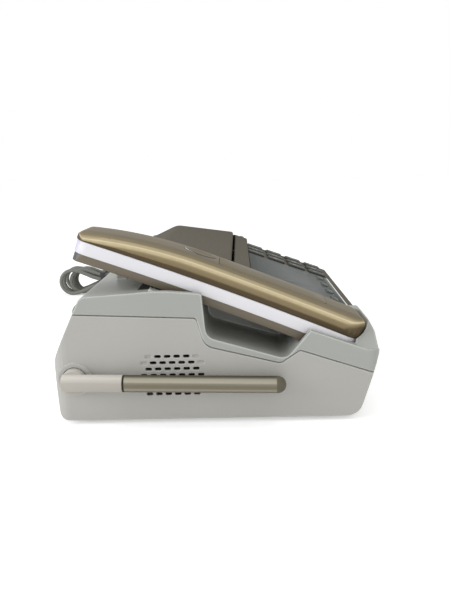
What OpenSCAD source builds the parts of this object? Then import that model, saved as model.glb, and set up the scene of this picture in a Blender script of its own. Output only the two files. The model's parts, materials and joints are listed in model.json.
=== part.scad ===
// Desktop fax phone whose cordless handset lies face down in a cradle at the left.
// X runs along the width, the user sits at -Y, Z is up, and the feet stand on Z = 0.

/* [Body] */
// Width of the body
body_w = 318; // [310:1:340]
// Depth of the body
body_d = 242; // [240:1:248]
// Height of the rear deck
deck_z = 97; // [96:0.5:98]
// Height of the front lip
lip_z = 52.4; // [51.4:0.2:53.4]
// Wall of the case and of the cover
wall = 2.6; // [2:0.1:3]
// Height of the rubber feet
foot_h = 3; // [2:0.5:4]
// Radius of the feet
foot_r = 8; // [6:0.5:11]
// Plan radius of the rear corners
rear_corner_r = 12; // [8:1:16]
// Plan radius of the front corners
front_corner_r = 8; // [5:1:12]
// Gap at the parting line
seam_gap = 0.4; // [0.2:0.1:0.8]

/* [Handset] */
// Length of the handset
handset_l = 224; // [220:1:226]
// Width of the handset
handset_w = 58; // [54:1:60]
// Slope of the handset in its cradle
handset_tilt = 21.5; // [21:0.1:22]
// Radius of the arch along the handset
handset_arch_r = 3000; // [2400:100:3600]
// Height of the face shell
face_h = 6.3; // [5:0.1:7]
// Height of the white band
band_h = 9.3; // [8:0.1:10]
// Height of the top shell at its crown
crown_h = 15.9; // [15:0.1:17]
// Radius of the top shell's fall to its rear end
crown_r = 380; // [340:10:440]
// Wall of the handset's shells
shell_wall = 2; // [1.5:0.1:2.4]
// Gap between the handset's sides and the cradle
cradle_gap = 1.7; // [1:0.1:2.5]
// Gap under the handset in the cradle
rest_gap = 1.2; // [0.8:0.1:1.6]

/* [Antenna] */
// Radius of the antenna tube
antenna_r = 6.2; // [5.5:0.1:6.6]
// Distance from the hinge to the tip
antenna_l = 155; // [130:1:165]
// Reach of the antenna beyond the left wall
antenna_reach = 16; // [15.5:0.1:18]
// Radius of the antenna's hinge pin
antenna_pin_r = 4; // [3:0.1:5]

/* [Panel and covers] */
// Strip of the cover between the panel and the right wall
panel_margin = 28; // [26:1:32]
// Height of the panel's face above the sloping deck
panel_rise = 12.4; // [12.2:0.1:13]
// Skin of the panel and of the paper cover
skin = 2.2; // [1.8:0.1:2.6]
// Height of the paper cover above the rear deck
paper_cover_h = 23.5; // [20:0.5:27]
// Radius of the hinge pins of the panel and the paper cover
hinge_pin_r = 2; // [1.5:0.1:2.2]
// Radial clearance of pins and shafts
running_gap = 0.05; // [0.03:0.01:0.08]
// Clearance between pieces that move past each other
slip_gap = 0.4; // [0.3:0.05:0.6]

/* [Keys] */
// Width of a dial key
key_w = 18; // [15:0.5:18.5]
// Length of a dial key
key_l = 18.4; // [15:0.2:19]
// Height of a dial key above the panel
key_h = 1.9; // [1.7:0.1:3]
// Travel of a key
key_travel = 1.5; // [1:0.1:1.6]

/* [Drive] */
// Radius of the platen roller
platen_r = 8; // [7:0.1:8.6]
// Radius of the document roller
document_r = 9.3; // [8.6:0.1:9.4]
// Radius of the roller shafts
shaft_r = 3; // [2.5:0.1:3.5]
// Thickness of the feed frame's plates
plate_t = 2; // [1.5:0.1:2.5]
// Radius of the feed motor
motor_r = 17.5; // [15:0.5:18.5]
// Length of the feed motor
motor_l = 16; // [12:0.5:18]

/* [Mains cord] */
// Diameter of the mains cord
cord_d = 5.4; // [5:0.1:5.4]
// Whole loops in the hank
hank_loops = 5; // [3:1:5]

/* [Hidden] */
$fn = 48;
arc_step = 15;
eps = 0.01;

dial_names = ["key_1", "key_2", "key_3", "key_4", "key_5", "key_6",
              "key_7", "key_8", "key_9", "key_star", "key_0", "key_hash"];
function_names = ["menu_key", "speaker_key", "stop_key", "start_key"];

// Places along the width, from the left wall
left_x = (antenna_reach - body_w) / 2;
right_x = left_x + body_w;
rim_w = 5;
trough_x0 = left_x + rim_w;
trough_x1 = trough_x0 + handset_w + 2 * cradle_gap;
divider_w = 3.2;
panel_x0 = trough_x1 + divider_w + slip_gap;
panel_x1 = right_x - panel_margin;
opening_edge = 4;
opening_x0 = panel_x0 + opening_edge;
opening_x1 = panel_x1 - opening_edge;
handset_x = (trough_x0 + trough_x1) / 2;

// Places along the depth, from the front edge or from the rear wall
front_y = -body_d / 2;
rear_y = body_d / 2;
function from_front(d) = front_y + d;
function from_rear(d) = rear_y - d;

// Side outline of the body, counter-clockwise from the front of its foot, each corner as [y, z, radius]
slope_y = from_front(131);
slope_z = deck_z + 0.3;
lip_y = from_front(7);
rear_knee_z = 46;
rear_lean = 3.5;
deck_crown = 3;
case_outline = [
    [from_front(15.6), foot_h, 12],
    [from_rear(rear_lean), foot_h, 7],
    [rear_y, rear_knee_z, 26],
    [from_rear(24.5), deck_z - 0.5, 6],
    [from_front(159), deck_z + deck_crown, 60],
    [slope_y, slope_z, 6],
    [lip_y, lip_z, 2],
    [front_y, lip_z, 1]];

// Frame of the sloping deck: y along the slope, positive to the rear, and v square to it
slope_a = atan2(slope_z - lip_z, slope_y - lip_y);
function slope_point(y, v) =
    [slope_y + y * cos(slope_a) - v * sin(slope_a), slope_z + y * sin(slope_a) + v * cos(slope_a)];

// Frame of the handset: y along it, positive to the earpiece, and t square to its face
handset_front = [from_front(16.4), deck_z - 53.65];
handset_origin = handset_front + handset_l / 2 * [cos(handset_tilt), sin(handset_tilt)];
function from_chin(d) = d - handset_l / 2;
function handset_point(y, t) = [
    handset_origin[0] + y * cos(handset_tilt) - t * sin(handset_tilt),
    handset_origin[1] + y * sin(handset_tilt) + t * cos(handset_tilt)];
function arch_drop(y) = sqrt(handset_arch_r ^ 2 - y ^ 2) - handset_arch_r;
function rest_point(y, r) = concat(handset_point(y, arch_drop(y) - rest_gap), [r]);

// Finger notch in the left wall and the parting line below it
notch_rear = [from_front(127), 65, 9];
notch_front = [from_front(69), 47.5, 8];
notch_top_front = [from_front(51), 68.5, 3];
notch_top_rear = [from_front(130), slope_z + 6, 0];
seam_rear_z = 84.5;
seam_front_z = 32;
seam_rear = [rear_y + 5, seam_rear_z, 0];
seam_knee = [from_front(134), 79, 3];
seam_front = [front_y - 5, seam_front_z, 0];
seam_rise = [from_front(59), 53.5, 3];
seam_low_rear = [from_front(128), 58, 10];
seam_low_front = [from_front(73), 44, 6];
seam_dip = [seam_rear, seam_knee, seam_low_rear, seam_low_front, seam_rise, seam_front];
seam_straight = [seam_rear, seam_knee, seam_rise, seam_front];
seam_split_x = left_x + wall + 1;

// Cradle floor from the rear deck to the end of the handset
front_rest_y = from_chin(45.5);
rear_rest_y = from_chin(122.5);
last_rest_y = from_chin(161.5);
end_gap = 0.8;
front_plan_r = 18;
rear_plan_r = 11;
cradle_path = [
    rest_point(last_rest_y, 0), rest_point(rear_rest_y, 3),
    notch_rear, notch_front, rest_point(front_rest_y, 3),
    rest_point(-handset_l / 2 - end_gap, 2), concat(handset_point(-handset_l / 2 - end_gap, 60), [0])];

// Drive train: the platen's gear turns the document roller's gear and is turned by the motor's pinion
gear_module = 0.8;
pressure_angle = 20;
tooth_play = 0.12;
platen_teeth = 36;
document_teeth = 20;
pinion_teeth = 12;
document_dir = 110;
pinion_dir = 300;
gear_w = 5;
function pitch_r(teeth) = gear_module * teeth / 2;
function polar(r, a) = r * [cos(a), sin(a)];
document_slope_y = -50;
document_depth = 9.8;
document_axis = slope_point(document_slope_y, -document_depth);
platen_axis = document_axis - polar(pitch_r(platen_teeth) + pitch_r(document_teeth), document_dir);
pinion_axis = platen_axis + polar(pitch_r(platen_teeth) + pitch_r(pinion_teeth), pinion_dir);
plate_x0 = opening_x0 + 4;
gear_x = opening_x1 - 8;
plate_x1 = gear_x - 1 - plate_t;
motor_plate_x = gear_x + gear_w + 1.5;
roller_x0 = plate_x0 + plate_t + 4;
roller_x1 = plate_x1 - 4;
bush_r = 5;
floor_z = foot_h + wall;

// Hinges of the panel and of the paper cover
panel_rear = -27.2;
panel_front = -132.5;
chute_front = panel_front - 6.5;
ridge_front = -34.5;
ridge_rear = -20.2;
ridge_h = 5.9;
ridge_t = 2.6;
panel_gap = 0.5;
panel_axis_slope = [-28, panel_rise + 2.6];
panel_axis = slope_point(panel_axis_slope[0], panel_axis_slope[1]);
cover_base_z = deck_z + deck_crown + 0.5;
paper_cover_y0 = from_front(108.5);
paper_cover_front_h = 10.6;
paper_cover_y1 = from_front(203);
cover_axis = [paper_cover_y1 - 5, cover_base_z + 4.8];
ear_r = 4.2;
pin_l = 3.2;
chute_depth = 6;
slot_z = 36;
opening_y1 = from_front(181);

// Keys on the panel, in the slope's frame
key_flange = 1;
key_round = 2.5;
dial_pitch_x = 24;
dial_x = panel_x1 - skin - key_flange - slip_gap - key_w / 2 - 2 * dial_pitch_x;
dial_y = -44.9;
dial_pitch_y = 22.7;
function_y = -113;
function_w = 16;
function_l = 7;
function_h = 0.7;
window_t = 0.8;
window_x0 = panel_x0 + 6;
window_x1 = dial_x - key_w / 2 - 6;
function_x = window_x0 + 18;
function_pitch = (window_x1 - window_x0 - 36) / 3;
window_y0 = -123;
window_y1 = -37;
display_x0 = window_x0 + 8;
display_x1 = window_x1 - 8;
display_y0 = -98;
display_y1 = -44;
board_t = 1.2;
flange_t = 1;
flange_v = panel_rise - skin - 0.3;
key_board_v = flange_v - flange_t - key_travel - 0.2 - board_t;

// Antenna hinge on the left wall
antenna_axis = [from_rear(17.3), 35.4];
antenna_droop = 1.5;
antenna_base_r = antenna_r + 0.2;
antenna_x = left_x - antenna_reach + antenna_base_r;
antenna_heel = 6.6;
antenna_joint = 37;
antenna_hub_r = 8.8;
antenna_boss_r = 12.4;
antenna_boss_h = 1.4;
antenna_gap = 0.5;
antenna_wall = 1.5;
spigot_l = 6;
tube_l = antenna_l - antenna_r - antenna_joint;
bore_l = tube_l - 5;

// Speaker slots in the left wall
vent_y = from_front(152.4);
vent_z = 51.2;
vent_pitch = 7;
vent_row_pitch = 4.75;
vent_l = 5;
vent_h = 2.4;
vent_rows = 7;
blind_rows = 2;
blind_depth = 0.9;
speaker_r = 26;
speaker_z = vent_z - vent_row_pitch * (vent_rows - 1) / 2;

// Screws that hold the cover, from below
screw_places = [
    [left_x + 30, from_rear(56)], [right_x - 16, from_rear(56)],
    [left_x + 36, from_front(62)], [right_x - 16, from_front(64)]];
screw_r = 1.5;
screw_head_r = 3;
boss_r = 4.8;
boss_top = 28;
screw_seat_z = 20;
screw_l = 16;
foot_places = [
    for (x = [left_x + 26, right_x - 26]) for (y = [from_front(40), from_rear(32)]) [x, y]];

// Boards and sockets
board_z = 13;
jack_x = right_x - 110;
jack_z = 36;
jack_w = 13;
jack_h = 15;
jack_d = 16;
jack_pitch = 17;
socket_w = 10;
socket_h = 7;

// Mains cord
gland_x = right_x - 32;
gland_z = 36;
gland_l = 24;
cord_r = cord_d / 2;
lie_z = cord_r + 0.2;
tie_y = 186;
hank_near = 46;
hank_far = 46.5;
hank_x = 350;
hank_y0 = tie_y - hank_near - cord_d;
lead_points = [
    [gland_x, rear_y + gland_l, gland_z], [gland_x, rear_y + gland_l + 7, gland_z], [135.9, 160.9, 34.7],
    [138.9, 169.4, 31], [145, 176.6, 24.8], [154.6, 181.5, 17.4], [167, 183.4, 10.4], [181, 182, 5.4],
    [195.5, 177, 3.1], [209, 168.5, lie_z], [220.5, 156.5, lie_z], [230.5, 142, lie_z],
    [240.5, 127, lie_z], [252, 113, lie_z], [267, 102, lie_z], [285, 95, lie_z], [304, 92.5, lie_z],
    [321, 95, lie_z], [335.5, 102.5, lie_z], [345.5, 114, lie_z], [hank_x - 0.4, 125.4, lie_z],
    [hank_x, hank_y0, lie_z]];
hank_radii = [17.4, 16.4, 17.1, 16.4, 17.2, 16.8];
hank_reach = [0, -18, -4.5, -13.5, -22, -9];
hank_waists = [3.4, 8.4, 3.6, 5.4, 9.2, 4];
hank_layer = cord_d + 0.6;
hank_steps = 32;
hank_z = hank_radii[0] + lie_z;
plug_x = 292;
plug_y = 50;
plug_z = 11;
tail_points_end = [[380, 121, 37], [379.4, 111, 34], [376.5, 98, 26.8], [369.5, 85.5, 19],
    [357, 75, 13], [341, 67, 11], [325, 61, 11], [plug_x + 17, plug_y + 5, 11], [plug_x, plug_y, plug_z]];
plug_l = 30;

// Unit vector along v
function unit(v) = v / norm(v);
// Unit vector to the left of the way from a to b
function left_of(a, b) = let (d = unit(b - a)) [-d[1], d[0]];
// Plane place of a corner
function place(c) = [c[0], c[1]];
// Place of corner i of a closed outline
function ring_place(p, i) = place(p[(i + len(p)) % len(p)]);
// Corner b between a and c, moved to the left by t
function moved_corner(a, b, c, t) =
    let (m = left_of(a, b), n = left_of(b, c)) b + t * (m + n) / (1 + m * n);
// Angle brought between -180 and 180
function wrapped(a) = a > 180 ? a - 360 : a < -180 ? a + 360 : a;

// Closed outline moved inwards by t, with its corner radii
function inset(p, t) = [
    for (i = [0:len(p) - 1])
        let (a = ring_place(p, i - 1), b = ring_place(p, i), c = ring_place(p, i + 1),
             q = moved_corner(a, b, c, t), bend = sign(cross(b - a, c - b)))
        [q[0], q[1], max(0, p[i][2] - bend * t)]];

// Points of the arc of radius r that rounds corner b
function corner_arc(a, b, c, r) = r < 0.1 ? [b] :
    let (u = unit(a - b), w = unit(c - b), half = acos(u * w) / 2,
         centre = b + unit(u + w) * r / sin(half),
         from = b + u * r / tan(half) - centre, to = b + w * r / tan(half) - centre,
         start = atan2(from[1], from[0]), sweep = wrapped(atan2(to[1], to[0]) - start),
         n = max(1, ceil(abs(sweep) / arc_step)))
    [for (k = [0:n]) centre + polar(r, start + sweep * k / n)];

// Points of a closed outline of [y, z, radius] corners
function rounded(p) = [
    for (i = [0:len(p) - 1])
        each corner_arc(ring_place(p, i - 1), ring_place(p, i), ring_place(p, i + 1), p[i][2])];

// Points of an open path of [y, z, radius] corners
function rounded_path(p) = [
    for (i = [0:len(p) - 1])
        each i == 0 || i == len(p) - 1 ? [place(p[i])]
            : corner_arc(place(p[i - 1]), place(p[i]), place(p[i + 1]), p[i][2])];

// Open path moved to its left by t
function shifted(p, t) = [
    for (i = [0:len(p) - 1])
        i == 0 ? p[0] + t * left_of(p[0], p[1])
        : i == len(p) - 1 ? p[i] + t * left_of(p[i - 1], p[i])
        : moved_corner(p[i - 1], p[i], p[i + 1], t)];

// Closed outline of a strip that lies along a path, on its left
function strip(p, t) = let (s = shifted(p, t)) concat(p, [for (i = [len(s) - 1:-1:0]) s[i]]);

// Rectangle's corners with one radius
function box_outline(x0, y0, x1, y1, r) = [[x0, y0, r], [x1, y0, r], [x1, y1, r], [x0, y1, r]];

// Side outline drawn out along the width
module across(x0, x1) {
    translate([x0, 0, 0]) rotate([90, 0, 90]) linear_extrude(x1 - x0) children();
}

// Front outline drawn out along the depth
module along(y0, y1) {
    translate([0, y1, 0]) rotate([90, 0, 0]) linear_extrude(y1 - y0) children();
}

// Round bar along the width at a side place
module bar(at, r, x0, x1) {
    translate([x0, at[0], at[1]]) rotate([0, 90, 0]) cylinder(r = r, h = x1 - x0);
}

// Box between two corners
module block(low, high) {
    translate(low) cube(high - low);
}

// Pieces drawn in the frame of the sloping deck
module on_slope() {
    translate([0, slope_y, slope_z]) rotate([slope_a, 0, 0]) children();
}

// Pieces drawn in the handset's frame
module in_handset() {
    translate([handset_x, handset_origin[0], handset_origin[1]]) rotate([handset_tilt, 0, 0]) children();
}

// Pieces set square to the handset's arched face at y
module on_arch(y) {
    translate([0, 0, -handset_arch_r]) rotate([-asin(y / handset_arch_r), 0, 0])
        translate([0, 0, handset_arch_r]) children();
}

// Body's outer form, moved inwards by t
module body_form(t) {
    intersection() {
        across(left_x + t, right_x - t) polygon(rounded(inset(case_outline, t)));
        body_plan(t);
    }
}

// Body's outline from above, moved inwards by t
module body_plan(t) {
    corners = [
        [left_x + t, front_y + t, front_corner_r], [right_x - t, front_y + t, front_corner_r],
        [right_x - t, rear_y - t, rear_corner_r], [left_x + t, rear_y - t, rear_corner_r]];
    linear_extrude(2 * deck_z) polygon(rounded(corners));
}

// Space below the parting line, raised by lift
module below_seam(lift) {
    under = [[front_y - 5, -20], [rear_y + 5, -20]];
    rise = [0, lift];
    across(left_x - 1, seam_split_x) polygon(concat(under, [for (p = rounded_path(seam_dip)) p + rise]));
    across(seam_split_x, right_x + 1)
        polygon(concat(under, [for (p = rounded_path(seam_straight)) p + rise]));
}

// Outlines of the speaker slots of a row, without or with only the blind ones at its ends
function vent_count(row) = row % 2 == 1 ? 7 : 6;
function is_blind(row, i) = row < blind_rows && (i == 0 || i == vent_count(row) - 1);
module vent_row(row, blind) {
    count = vent_count(row);
    for (i = [0:count - 1])
        if (is_blind(row, i) == blind)
            translate([vent_y + (i - (count - 1) / 2) * vent_pitch, vent_z - row * vent_row_pitch]) {
                square([vent_l - vent_h, vent_h], center = true);
                for (side = [-1, 1]) translate([side * (vent_l - vent_h) / 2, 0]) circle(r = vent_h / 2);
            }
}

module lower_case() color([0.68, 0.67, 0.65]) {
    difference() {
        union() {
            difference() {
                intersection() {
                    body_form(0);
                    below_seam(0);
                }
                body_form(wall);
            }
            bar(antenna_axis, antenna_boss_r, left_x - antenna_boss_h, left_x + 3 * wall);
            block([jack_x - jack_w / 2, from_rear(wall + rear_lean), jack_z - jack_h / 2],
                  [jack_x + jack_pitch + jack_w / 2, from_rear(wall), jack_z + jack_h / 2]);
            translate([gland_x, from_rear(wall), gland_z]) rotate([90, 0, 0]) cylinder(r = 9, h = rear_lean);
            for (p = screw_places)
                translate([p[0], p[1], foot_h]) cylinder(r = boss_r, h = boss_top - foot_h);
            for (x = [plate_x0 + 14, plate_x1 - 12]) for (y = [from_front(46), from_rear(70)])
                translate([x, y, floor_z - eps]) cylinder(r = 3, h = board_z - floor_z + eps);
            for (x = [right_x - 150, right_x - 62]) for (y = [from_rear(56), from_rear(22)])
                translate([x, y, floor_z - eps]) cylinder(r = 3, h = board_z - floor_z + eps);
        }
        bar(antenna_axis, antenna_hub_r + antenna_gap, left_x - 2 * antenna_boss_h, left_x);
        bar(antenna_axis, antenna_pin_r + running_gap, left_x - 1, left_x + 4 * wall);
        for (row = [0:vent_rows - 1]) across(left_x - 1, left_x + 2 * wall) vent_row(row, false);
        for (row = [0:blind_rows - 1]) across(left_x - 1, left_x + blind_depth) vent_row(row, true);
        for (p = screw_places) {
            translate([p[0], p[1], 0]) cylinder(r = screw_r + 0.2, h = boss_top + 1);
            translate([p[0], p[1], 0]) cylinder(r = screw_head_r + 0.4, h = screw_seat_z);
        }
        for (i = [0, 1])
            block([jack_x + i * jack_pitch - socket_w / 2, from_rear(3 * wall), jack_z - socket_h / 2],
                  [jack_x + i * jack_pitch + socket_w / 2, rear_y + 1, jack_z + socket_h / 2]);
        translate([gland_x, rear_y + 1, gland_z]) rotate([90, 0, 0]) cylinder(r = 5, h = 4 * wall);
    }
}

// Upright ear with a hinge bore, on the cover
module hinge_ear(at, x0, base_z) {
    difference() {
        union() {
            bar(at, ear_r, x0, x0 + divider_w);
            block([x0, at[0] - ear_r, base_z], [x0 + divider_w, at[0] + ear_r, at[1]]);
        }
        bar(at, hinge_pin_r + running_gap, x0 - 1, x0 + divider_w + 1);
    }
}

// Space over the cradle's floor
module cradle_space() {
    path = rounded_path(cradle_path);
    last = path[len(path) - 1];
    half_w = handset_w / 2 + cradle_gap;
    front = -handset_l / 2 - end_gap;
    corner_r = front_plan_r + end_gap;
    intersection() {
        across(trough_x0, trough_x1) polygon(concat(path, [[path[0][0], last[1] + 60]]));
        in_handset() translate([0, 0, -handset_l]) linear_extrude(2 * handset_l)
            polygon(rounded([[-half_w, front, corner_r], [half_w, front, corner_r],
                             [half_w, 2 * handset_l, 0], [-half_w, 2 * handset_l, 0]]));
    }
}

// Wall of the cover in front of the handset, rising from the rim to the panel
module cradle_front() {
    ear_y = from_front(2.2);
    ear_z = lip_z + 18.5;
    side = [[ear_y, lip_z - 5, 0], [from_front(20), lip_z - 5, 0], [from_front(14), ear_z, 0],
            [from_front(5.5), ear_z, 2], [ear_y, lip_z + 11, 6]];
    intersection() {
        across(left_x, panel_x0 - slip_gap) polygon(rounded(side));
        along(front_y, from_front(30))
            polygon(rounded([[left_x, 0, 0], [panel_x0 + 20, 0, 0], [panel_x0 + 20, ear_z, 0],
                             [left_x + 28, ear_z, 14], [left_x, lip_z + 1, 0]]));
        body_plan(0);
    }
}

module upper_cover() color([0.65, 0.66, 0.63]) {
    path = rounded_path(cradle_path);
    lowered = shifted(path, wall);
    roof = [[lowered[len(lowered) - 1][0], 2 * deck_z], [lowered[0][0], 2 * deck_z]];
    notch = rounded_path([notch_top_rear, notch_rear, notch_front, notch_top_front,
                          [notch_top_front[0] + 0.5, slope_z + 30, 0]]);
    difference() {
        union() {
            difference() {
                body_form(0);
                below_seam(seam_gap);
                body_form(wall);
                across(opening_x0, opening_x1) polygon([
                    [opening_y1, deck_z - 20], [opening_y1, deck_z + 20], [front_y - 5, deck_z + 20],
                    [front_y - 5, slot_z], [from_front(60), slot_z]]);
            }
            intersection() {
                difference() {
                    body_form(0);
                    below_seam(seam_gap);
                }
                across(left_x, trough_x0) polygon(concat(lowered, roof));
            }
            intersection() {
                body_form(0);
                across(trough_x1, trough_x1 + divider_w) polygon(concat(lowered, roof));
            }
            across(left_x + wall, trough_x1 + divider_w)
                polygon(strip([for (i = [0:len(path) - 2]) path[i]], wall));
            cradle_front();
            on_slope() {
                block([opening_x0 - eps, chute_front, -chute_depth - wall],
                      [opening_x1 + eps, document_slope_y - 14, -chute_depth]);
                for (x = [opening_x0 - wall, opening_x1])
                    block([x, chute_front, -chute_depth - wall], [x + wall, panel_rear - 6, -eps]);
            }
            for (x = [trough_x1, panel_x1 + slip_gap]) {
                hinge_ear(panel_axis, x, panel_axis[1] - 20);
                hinge_ear(cover_axis, x, deck_z - 1);
            }
            for (p = screw_places)
                translate([p[0], p[1], boss_top]) cylinder(r = boss_r, h = post_top(p) - boss_top);
        }
        cradle_space();
        charge_contacts();
        across(left_x - 1, trough_x0 + eps) polygon(notch);
        for (p = screw_places)
            translate([p[0], p[1], boss_top - 1])
                cylinder(r = screw_r, h = screw_seat_z + screw_l - boss_top + 2);
    }
}

// Height at which a screw post meets the cover from inside
function post_top(p) =
    p[1] > slope_y ? deck_z - wall + 1
    : p[0] < trough_x1 ? handset_point(-handset_l / 3, 0)[1] - wall
    : slope_z - (slope_y - p[1]) * tan(slope_a) - wall;

module rubber_feet() color([0.16, 0.16, 0.17])
    for (p = foot_places) translate([p[0], p[1], 0]) cylinder(r = foot_r, h = foot_h);

module case_screws() color([0.72, 0.72, 0.74])
    for (p = screw_places)
        translate([p[0], p[1], screw_seat_z]) {
            cylinder(r = screw_r, h = screw_l);
            translate([0, 0, -2]) cylinder(r = screw_head_r, h = 2);
        }

module main_board() color([0.13, 0.42, 0.22]) {
    x0 = plate_x0 + plate_t + 3;
    x1 = plate_x1 - 3;
    y0 = from_front(38);
    block([x0, y0, board_z], [x1, from_rear(64), board_z + board_t]);
    for (i = [0:3])
        translate([x0 + 14 + i * (x1 - x0 - 48) / 3, y0 + 18, board_z + board_t - eps])
            block([0, 0, 0], [20, 20, 4 - board_t]);
    for (i = [0:4])
        translate([x0 + 20 + i * (x1 - x0 - 40) / 4, from_rear(76), board_z + board_t - eps])
            cylinder(r = 4, h = 10);
}

module power_board() color([0.55, 0.42, 0.2]) {
    x0 = right_x - 156;
    block([x0, from_rear(60), board_z], [right_x - 56, from_rear(16), board_z + board_t]);
    block([x0 + 20, from_rear(52), board_z + board_t - eps], [x0 + 54, from_rear(24), board_z + 28]);
    for (i = [0, 1])
        translate([x0 + 68 + i * 18, from_rear(36), board_z + board_t - eps]) cylinder(r = 7, h = 22);
}

module speaker() color([0.2, 0.2, 0.21])
    translate([left_x + wall, vent_y, speaker_z]) rotate([0, 90, 0]) difference() {
        union() {
            cylinder(r = speaker_r, h = 3);
            translate([0, 0, 3 - eps]) cylinder(r1 = speaker_r - 2, r2 = 14, h = 9);
            translate([0, 0, 12 - 2 * eps]) cylinder(r = 14, h = 8);
        }
        translate([0, 0, -1]) cylinder(r1 = speaker_r - 3, r2 = 10, h = 10);
    }

module line_jacks() color([0.1, 0.1, 0.1])
    for (x = [jack_x, jack_x + jack_pitch])
        difference() {
            block([x - jack_w / 2, from_rear(wall + rear_lean + jack_d), jack_z - jack_h / 2],
                  [x + jack_w / 2, from_rear(wall + rear_lean), jack_z + jack_h / 2]);
            block([x - socket_w / 2, from_rear(wall + rear_lean + jack_d - 3), jack_z - socket_h / 2],
                  [x + socket_w / 2, rear_y, jack_z + socket_h / 2]);
        }

module feed_frame() color([0.7, 0.7, 0.72]) {
    low = [[from_front(73), floor_z], [from_front(153), floor_z], [from_front(153), 72],
           [from_front(123), 60]];
    high = [slope_point(-36, -3), slope_point(-60, -3), [from_front(73), 60]];
    difference() {
        for (x = [plate_x0, plate_x1]) across(x, x + plate_t) polygon(concat(low, high));
        for (a = [document_axis, platen_axis]) bar(a, bush_r, plate_x0 - 1, plate_x1 + plate_t + 1);
    }
    for (y = [from_front(80), from_front(146)])
        bar([y, 24], 2.5, plate_x0 + plate_t - eps, plate_x1 + eps);
}

module roller_bushes() color([0.9, 0.88, 0.8])
    for (a = [document_axis, platen_axis]) for (x = [plate_x0, plate_x1])
        difference() {
            bar(a, bush_r, x, x + plate_t);
            bar(a, shaft_r + running_gap, x - 1, x + plate_t + 1);
        }

module motor_plate() color([0.66, 0.67, 0.69])
    difference() {
        union() {
            across(motor_plate_x, motor_plate_x + plate_t)
                polygon(rounded(box_outline(
                    pinion_axis[0] - motor_r - 3, floor_z,
                    pinion_axis[0] + motor_r + 6, pinion_axis[1] + motor_r + 3, 2)));
            for (y = [pinion_axis[0] - motor_r + 1, pinion_axis[0] + motor_r + 2])
                bar([y, floor_z + 5], 2.5, plate_x1 + plate_t, motor_plate_x + eps);
        }
        bar(pinion_axis, 6, motor_plate_x - 1, motor_plate_x + plate_t + 1);
    }

module feed_motor() color([0.6, 0.6, 0.62])
    difference() {
        bar(pinion_axis, motor_r, motor_plate_x + plate_t, motor_plate_x + plate_t + motor_l);
        bar(pinion_axis, 1.5 + running_gap, motor_plate_x, motor_plate_x + plate_t + motor_l - 3);
    }

// Involute of an angle, in degrees
function involute(a) = tan(a) * 180 / PI - a;
// Half the angle of a tooth at radius r
function tooth_half(teeth, r) =
    let (base = pitch_r(teeth) * cos(pressure_angle))
    90 / teeth - tooth_play / pitch_r(teeth) * 90 / PI + involute(pressure_angle)
        - involute(acos(min(1, base / r)));
// Points of a gear with a tooth at the angle first
function gear_points(teeth, first) =
    let (p = pitch_r(teeth), root = p - 1.25 * gear_module, tip = p + gear_module,
         radii = [root, max(root, p * cos(pressure_angle)) + 0.02, p, tip])
    [for (i = [0:teeth - 1]) each concat(
        [for (r = radii) polar(r, first + i * 360 / teeth - tooth_half(teeth, r))],
        [for (k = [3:-1:0]) polar(radii[k], first + i * 360 / teeth + tooth_half(teeth, radii[k]))])];

// Gear on a shaft, with a tooth at the angle first
module gear(at, teeth, first, bore) {
    difference() {
        translate([0, at[0], at[1]]) across(gear_x, gear_x + gear_w) polygon(gear_points(teeth, first));
        bar(at, bore, gear_x - 1, gear_x + gear_w + 1);
    }
}

module motor_pinion() color([0.8, 0.7, 0.4]) {
    gear(pinion_axis, pinion_teeth, pinion_dir + 180 + 180 / pinion_teeth, 1.5 - eps);
    bar(pinion_axis, 1.5, gear_x - 0.5, motor_plate_x + plate_t + motor_l - 3.3);
}

module platen_gear() color([0.9, 0.9, 0.86])
    gear(platen_axis, platen_teeth, document_dir, shaft_r);

module document_gear() color([0.9, 0.9, 0.86])
    gear(document_axis, document_teeth, document_dir + 180 + 180 / document_teeth, shaft_r);

// Roller on its shaft between the frame's plates
module roller(at, r) {
    bar(at, r, roller_x0, roller_x1);
    bar(at, shaft_r, plate_x0 - 2, gear_x + gear_w + 0.8);
}

module platen_roller() color([0.2, 0.2, 0.21]) roller(platen_axis, platen_r);

module document_roller() color([0.86, 0.86, 0.84]) roller(document_axis, document_r);

module thermal_head() color([0.62, 0.63, 0.66]) {
    top_z = platen_axis[1] - platen_r - slip_gap;
    block([roller_x0, platen_axis[0] - 10, top_z - 7], [roller_x1, platen_axis[0] + 10, top_z - 2]);
    block([roller_x0 + 2, platen_axis[0] - 4, top_z - 2 - eps], [roller_x1 - 2, platen_axis[0] + 4, top_z]);
    for (x = [plate_x0 + plate_t, plate_x1 - 6])
        block([x, platen_axis[0] - 6, top_z - 6], [x + 6, platen_axis[0] + 6, top_z - 3]);
}

module paper_tray() color([0.5, 0.5, 0.5]) {
    tray = [[from_front(178), 95], [from_front(136), 68], [from_front(122), 56.5]];
    across(plate_x0 + plate_t, plate_x1) polygon(strip(tray, wall));
}

contact_y = from_chin(16);
module charge_contacts() color([0.82, 0.7, 0.42])
    in_handset() on_arch(contact_y)
        for (x = [-9, 9])
            block([x - 3, -2, -rest_gap - 1], [x + 3, 2, -0.3]);

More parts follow.
